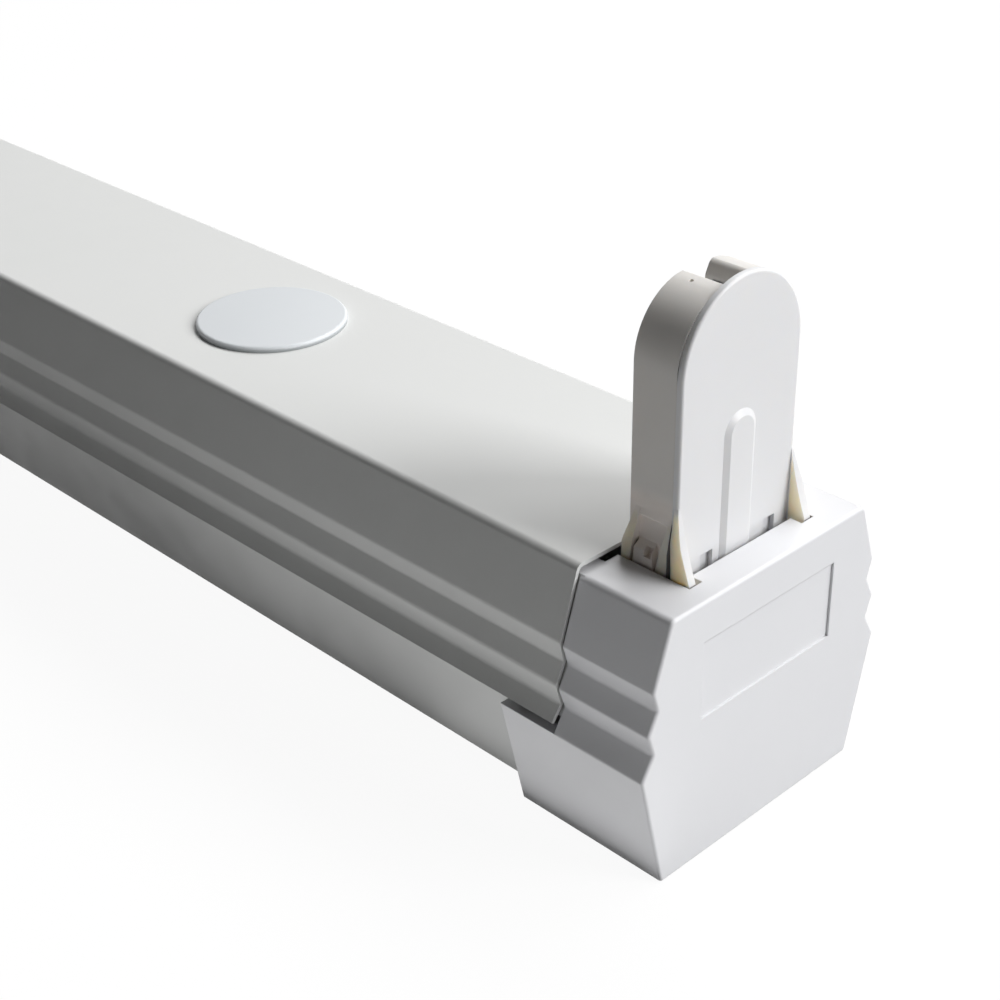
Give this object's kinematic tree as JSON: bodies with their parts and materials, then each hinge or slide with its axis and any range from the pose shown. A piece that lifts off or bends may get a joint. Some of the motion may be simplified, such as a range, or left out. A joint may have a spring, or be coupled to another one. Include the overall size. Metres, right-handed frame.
{
  "type": "tube lamp batten fitting",
  "caption": "Slim batten light fitting for a tube lamp: folded steel tray, swaged clip-on cover, moulded end caps and upright lampholders with turning lamp locks.",
  "frame": {"origin": "on the fixing plane under the middle of the fitting", "axes": "+X along the batten to the end with the blanking plug, +Z away from the fixing plane towards the lamp, +Y across"},
  "size_m": [0.6228, 0.0522, 0.0836],
  "materials": {
    "painted_steel": "satin white powder coat",
    "white_plastic": "satin moulded",
    "ivory_plastic": "satin moulded, slightly translucent",
    "holder_plastic": "satin moulded",
    "spring_bronze": "bright strip",
    "natural_nylon": "satin",
    "brass": "satin",
    "zinc_steel": "zinc plated",
    "grey_rubber": "matt",
    "brown_insulation": "satin",
    "blue_insulation": "satin",
    "green_insulation": "satin"
  },
  "bodies": {
    "housing": {"base_tray": "painted_steel", "cover": "painted_steel", "blanking_plug": "white_plastic", "end_cap_1": "white_plastic", "end_cap_2": "white_plastic", "holder_body_1": "ivory_plastic", "holder_body_2": "ivory_plastic", "holder_plate_1": "holder_plastic", "holder_plate_2": "holder_plastic", "contact_springs_1": "spring_bronze", "contact_springs_2": "spring_bronze", "terminal_block": "natural_nylon", "terminal_clamps": "brass", "terminal_screws": "zinc_steel", "earth_screw": "brass", "earth_washer": "zinc_steel", "earth_tag": "brass", "cable_grommet": "grey_rubber", "live_wire": "brown_insulation", "neutral_wire": "blue_insulation", "earth_wire": "green_insulation"},
    "rotor_1": {"lock_rotor_1": "holder_plastic"},
    "rotor_2": {"lock_rotor_2": "holder_plastic"}
  },
  "joints": [
    {"name": "lamp_lock_1", "type": "hinge", "parent": "housing", "child": "rotor_1", "pos_m": [0.2995, 0, 0.0714], "axis": [1, 0, 0], "range_deg": [-90, 90]},
    {"name": "lamp_lock_2", "type": "hinge", "parent": "housing", "child": "rotor_2", "pos_m": [-0.2995, 0, 0.0714], "axis": [1, 0, 0], "range_deg": [-90, 90]}
  ]
}
